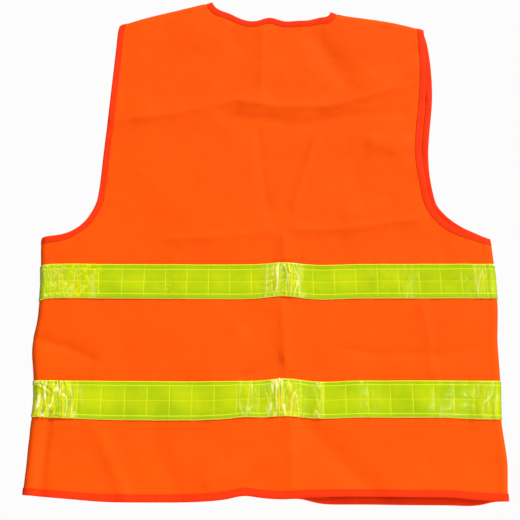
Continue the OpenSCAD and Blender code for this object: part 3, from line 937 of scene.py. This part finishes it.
for prefix, side in (("left", -1), ("right", 1)):
    for kind, ends in seam_ends.items():
        length = abs(ends[1] - ends[0])
        seam_bm = bmesh.new()
        bmesh.ops.create_grid(seam_bm, x_segments=round(length / 4), y_segments=3, size=0.5)
        uv = seam_bm.loops.layers.uv.new("cut")
        share = np.array([v.co.x + 0.5 for v in seam_bm.verts])
        across = np.array([v.co.y + 0.5 for v in seam_bm.verts]) * (allowance_w - allowance_fold)
        across += allowance_fold
        for face in seam_bm.faces:
            for loop in face.loops:
                loop[uv].uv = ((loop.vert.co.x + 0.5) * length * METRE, loop.vert.co.y * allowance_w * METRE)
        places, into = seam_frame(kind, side, share)
        places = (places + into * across[:, None]) * METRE
        places[:, 1] += 0.25 * METRE * np.sin(share * length / 9) * across / allowance_w
        for v, place in zip(seam_bm.verts, places):
            v.co = place
        bmesh.ops.recalc_face_normals(seam_bm, faces=seam_bm.faces)
        allowance = as_piece(prefix + "_" + kind + "_allowance", seam_bm, orange_knit, 1.0)
        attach(allowance, "root")
        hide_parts(prefix + "_" + kind + "_seam")
        count = round(length / overlock_pitch)
        share = (np.arange(count) + 0.5) / count
        places, into = seam_frame(kind, side, share)
        along = np.gradient(places, axis=0)
        along /= np.linalg.norm(along, axis=1, keepdims=True)
        centres, runs, outs = [], [], []
        for face in (-1, 1):
            out = np.array([0, face, 0])
            for lean in (-1, 1):
                bite = into * (allowance_w - overlock_bite)
                centres.extend((places + bite + out * 0.62 + lean * along * 0.8) * METRE)
                runs.extend(into + lean * 0.35 * along)
                outs.extend([out] * count)
        centres.extend((places + into * (allowance_w + 0.1)) * METRE)
        runs.extend(along)
        outs.extend(into)
        overlock = bars(prefix + "_" + kind + "_overlock", centres, runs, outs, 5.0, 0.5, 0.4,
                        overlock_thread)
        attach(overlock, "root")
        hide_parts(prefix + "_" + kind + "_seam")

# ---- Sewing threads ----
# Lockstitch in spun polyester, 3.2 mm a stitch. Orange thread holds the bindings and the patches,
# and yellow thread the bands and labels.

stitch_pitch = 3.2
stitch_len = 2.2
binding_stitch_len = 2.3
binding_thread_h = 0.74
band_row_inset = 1.6


def stitched(name, legs, into_cloth, heights, material, length=stitch_len):
    """A row of stitches along legs, a set way in from the edge, on each given height."""
    centres, runs, outs = [], [], []
    for layer, *leg in legs:
        points, into, at = stations(leg[0], stitch_pitch, *leg[1:])
        points, into = (points[1:] + points[:-1]) / 2, (into[1:] + into[:-1]) / 2
        row = points + into_cloth * into
        for height in heights:
            places = on_cloth(layer, row[:, 0], row[:, 1], np.full(len(row), height))
            above = on_cloth(layer, row[:, 0], row[:, 1], np.full(len(row), height + 0.5))
            centres.extend(places)
            runs.extend(np.gradient(places, axis=0))
            outs.extend(above - places)
    return bars(name, centres, runs, outs, length, 0.55, 0.4, material)


for name, (rides, legs, covered) in tape_runs.items():
    height = binding_thread_h + lift_of(name, rides)
    row = stitched(name.replace("tape", "stitches"), legs, thread_row, (height, -height), orange_thread,
                   binding_stitch_len)
    lies_on(row, rides)

for which, top in zip(("upper", "lower"), band_tops):
    for layer in ("back", "left_front", "right_front"):
        side = front_layers.get(layer, 1)
        first = -seam_s + 2 if layer == "back" else -side * front_band_x
        last = side * (seam_s - 2)
        legs = [(layer, [(first, t), (last, t)], 1, None, None)
                for t in (top - band_row_inset, top - band_w + band_row_inset)]
        heights = (band_base + band_film_t + 0.4, -0.35)
        row = stitched(layer + "_" + which + "_stitches", legs, 0, heights, yellow_thread)
        lies_on(row, layer)

# ---- Hook and loop patches ----
# Woven nylon tape cut in 25 by 50 mm pieces: brushed loops outside on the right front, and moulded
# hooks inside on the left front. Each is sewn down all round.

patch_w, patch_h, patch_t = 25.0, 50.0, 1.2
patch_tops = {"upper": -350.0, "lower": -512.0}
patch_corner_r = 3.0
patch_row_inset = 1.8
patch_ground = (cloth_t + patch_t) / 2 - 0.1


def patch_material(name, colour, dark, scale, roughness, bump_mm):
    """Woven nylon: the ground cloth of the tape, with its pile or its hook rows as a fine relief."""
    m = new_material(name)
    cut = node(m, "UVMap", uv_map="cut")
    pile = node(m, "TexVoronoi", {"Vector": cut.outputs["UV"], "Scale": scale})
    grain = node(m, "TexNoise", {"Vector": cut.outputs["UV"], "Scale": scale / 2, "Detail": 4})
    tone = node(m, "Math", {0: pile.outputs["Distance"], 1: grain.outputs["Fac"]}, operation="ADD")
    shade = node(m, "MixRGB", {"Fac": tone.outputs[0], "Color1": linear(dark), "Color2": linear(colour)})
    relief = node(m, "Bump", {"Height": tone.outputs[0], "Strength": 0.6, "Distance": bump_mm * METRE})
    shader = node(m, "BsdfPrincipled", {"Base Color": shade.outputs[0], "Roughness": roughness,
                                        "Specular IOR Level": 0.25, "Normal": relief.outputs[0]})
    return finish_material(m, shader)


loop_nylon = patch_material("brushed_nylon_loop_orange", "f0642a", "c8401a", 900, 0.85, 0.6)
hook_nylon = patch_material("moulded_nylon_hook_orange", "e85c26", "b83c18", 600, 0.45, 0.3)

for which, top in patch_tops.items():
    low, high = np.array([-patch_w / 2, top - patch_h]), np.array([patch_w / 2, top])
    corners = [(high[0], low[1]), tuple(high), (low[0], high[1]), tuple(low)]
    outline = [p for i in range(4)
               for p in fillet(corners[i - 1], corners[i], corners[(i + 1) % 4], patch_corner_r, 5)]
    for layer, kind, face, material in (("right_front", "loop", 1, loop_nylon),
                                        ("left_front", "hook", -1, hook_nylon)):
        patch_bm = cut_cloth(outline, 2.0)
        keep_cut(patch_bm)
        lay_on(patch_bm, layer, lambda s, t: face * (patch_ground + 0.08 * rumple(s, t, 4, 31)))
        patch = as_piece(which + "_" + kind + "_patch", patch_bm, material, patch_t - 0.3)
        lies_on(patch, layer)
        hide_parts(which + "_" + kind)
        (left, bottom), (right, up) = low + patch_row_inset, high - patch_row_inset
        round_path = [(left, bottom), (right, bottom), (right, up), (left, up), (left, bottom)]
        legs = [(layer, [a, b], 1, None, None) for a, b in zip(round_path, round_path[1:])]
        heights = (face * (patch_ground + 0.5), -face * 0.3)
        row = stitched(which + "_" + kind + "_stitches", legs, 0, heights, orange_thread)
        lies_on(row, layer)
        # The pile stands inside the stitching, 1.6 by 1.8 mm apart.
        tips_s, tips_t = np.meshgrid(np.arange(low[0] + 3.4, high[0] - 3.2, 1.6),
                                     np.arange(low[1] + 3.4, high[1] - 3.2, 1.8))
        tips_s, tips_t = tips_s.ravel(), tips_t.ravel()
        if kind == "loop":
            tips_s = tips_s + 0.7 * rumple(tips_s, tips_t, 1.7, 41)
            tips_t = tips_t + 0.7 * rumple(tips_s, tips_t, 1.3, 43)
        places = on_cloth(layer, tips_s, tips_t, np.full(len(tips_s), face * (patch_ground + 0.55)))
        above = on_cloth(layer, tips_s, tips_t, np.full(len(tips_s), face * (patch_ground + 1.0)))
        outs = above - places
        turns = 9 * rumple(tips_s, tips_t, 2.3, 47) if kind == "loop" else 0 * tips_s
        runs = np.stack([np.sin(turns), 0 * turns, np.cos(turns)], -1)
        pile = bars(which + "_" + kind + "_pile", places, runs, outs, 1.3, 0.4, 0.5, material)
        lies_on(pile, layer)

# ---- Labels ----
# A small folded neck label under the neck binding and a care label in the left side seam, inside.
# Both are white satin ribbon, and both are left blank.

satin = new_material("white_satin_ribbon")
ribbon_cut = node(satin, "UVMap", uv_map="cut")
ribbon_weave = node(satin, "TexWave", {"Vector": ribbon_cut.outputs["UV"], "Scale": 700, "Distortion": 0.5},
                    wave_type="BANDS", bands_direction="Y")
ribbon_relief = node(satin, "Bump", {"Height": ribbon_weave.outputs["Fac"], "Strength": 0.2,
                                     "Distance": 0.0002})
# Satin floats give ribbon a soft sheen, brighter than matt cloth and never mirror-like.
finish_material(satin, node(satin, "BsdfPrincipled", {
    "Base Color": linear("f2f0ea"), "Roughness": 0.42, "Specular IOR Level": 0.4,
    "Normal": ribbon_relief.outputs[0]}))

for name in ("neck_label", "care_label"):
    low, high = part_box(name)
    width, height = (high.x - low.x) / METRE, (high.z - low.z) / METRE
    left, right, bottom, top = (edge / METRE for edge in (low.x, high.x, low.z, high.z))
    label_bm = rectangle((left, bottom), (right, top), round(width / 2), round(height / 2))
    keep_cut(label_bm)
    lay_on(label_bm, "back", lambda s, t: -0.75 - 0.5 * smooth((top - t) / height))
    label = as_piece(name + "_ribbon", label_bm, satin, 0.25)
    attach(label, "root")
    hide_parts(name)
    # The neck label is sewn along its top, and the care label along the side seam.
    sewn = [(left + 1, top - 1.5), (right - 1, top - 1.5)]
    if name == "care_label":
        sewn = [(left + 1.5, bottom + 1), (left + 1.5, top - 1)]
    row = stitched(name + "_stitches", [("back", sewn, 1, None, None)], 0, (-1.05,), yellow_thread)
    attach(row, "root")

# ---- Sheets ----
# The flat cut width of each band, measured round the turn at the side seams; a front band's runs from its
# side seam to its end short of the edge tape. The width is worked out and not used.

for name in band_piece_names:
    width = 2 * seam_s if name.startswith("back") else seam_s + front_band_x

# ---- Stage ----
# A pale seamless floor, well under the hem. The key light comes from the camera's upper right, with
# weaker ones from both sides and from below, and one that falls on the vest's fronts.

room_fill = 0.16
room_white = 0.974
floor_r, floor_z = 1.3, -1.3
paper = new_material("matt_white_paper")
finish_material(paper, node(paper, "BsdfPrincipled", {"Base Color": linear("f4f4f2"), "Roughness": 0.9}))
floor_bm = bmesh.new()
bmesh.ops.create_circle(floor_bm, cap_ends=True, segments=96, radius=floor_r,
                        matrix=Matrix.Translation((0, 0, floor_z)))
as_piece("floor", floor_bm, paper)

world = bpy.data.worlds.new("room")
bpy.context.scene.world = world
world.use_nodes = True
world.node_tree.nodes.clear()
seen = node(world, "LightPath")
brightness = node(world, "MapRange", {"Value": seen.outputs["Is Camera Ray"], "To Min": room_fill,
                                      "To Max": room_white})
room_light = node(world, "Background", {"Color": (1, 1, 1, 1), "Strength": brightness.outputs[0]})
node(world, "OutputWorld", {"Surface": room_light.outputs[0]})


def soft_light(name, comes_from, strength, softness):
    """A broad far light, so that it falls evenly from the neck to the hem."""
    lamp_data = bpy.data.lights.new(name, "SUN")
    lamp_data.energy = strength
    lamp_data.angle = math.radians(softness)
    lamp = bpy.data.objects.new(name, lamp_data)
    lamp.rotation_euler = Vector(comes_from).to_track_quat("Z", "Y").to_euler()
    bpy.context.scene.collection.objects.link(lamp)


soft_light("key", (0.5, -0.42, 0.75), 3.9, 9)
soft_light("left_strip", (-0.47, -0.82, 0.31), 0.26, 7)
soft_light("right_strip", (0.5, -0.8, 0.31), 0.16, 7)
soft_light("low", (0.15, -0.8, -0.5), 0.65, 30)
soft_light("front", (0.35, 0.75, 0.5), 2.8, 25)
bpy.context.scene.view_settings.view_transform = "Standard"
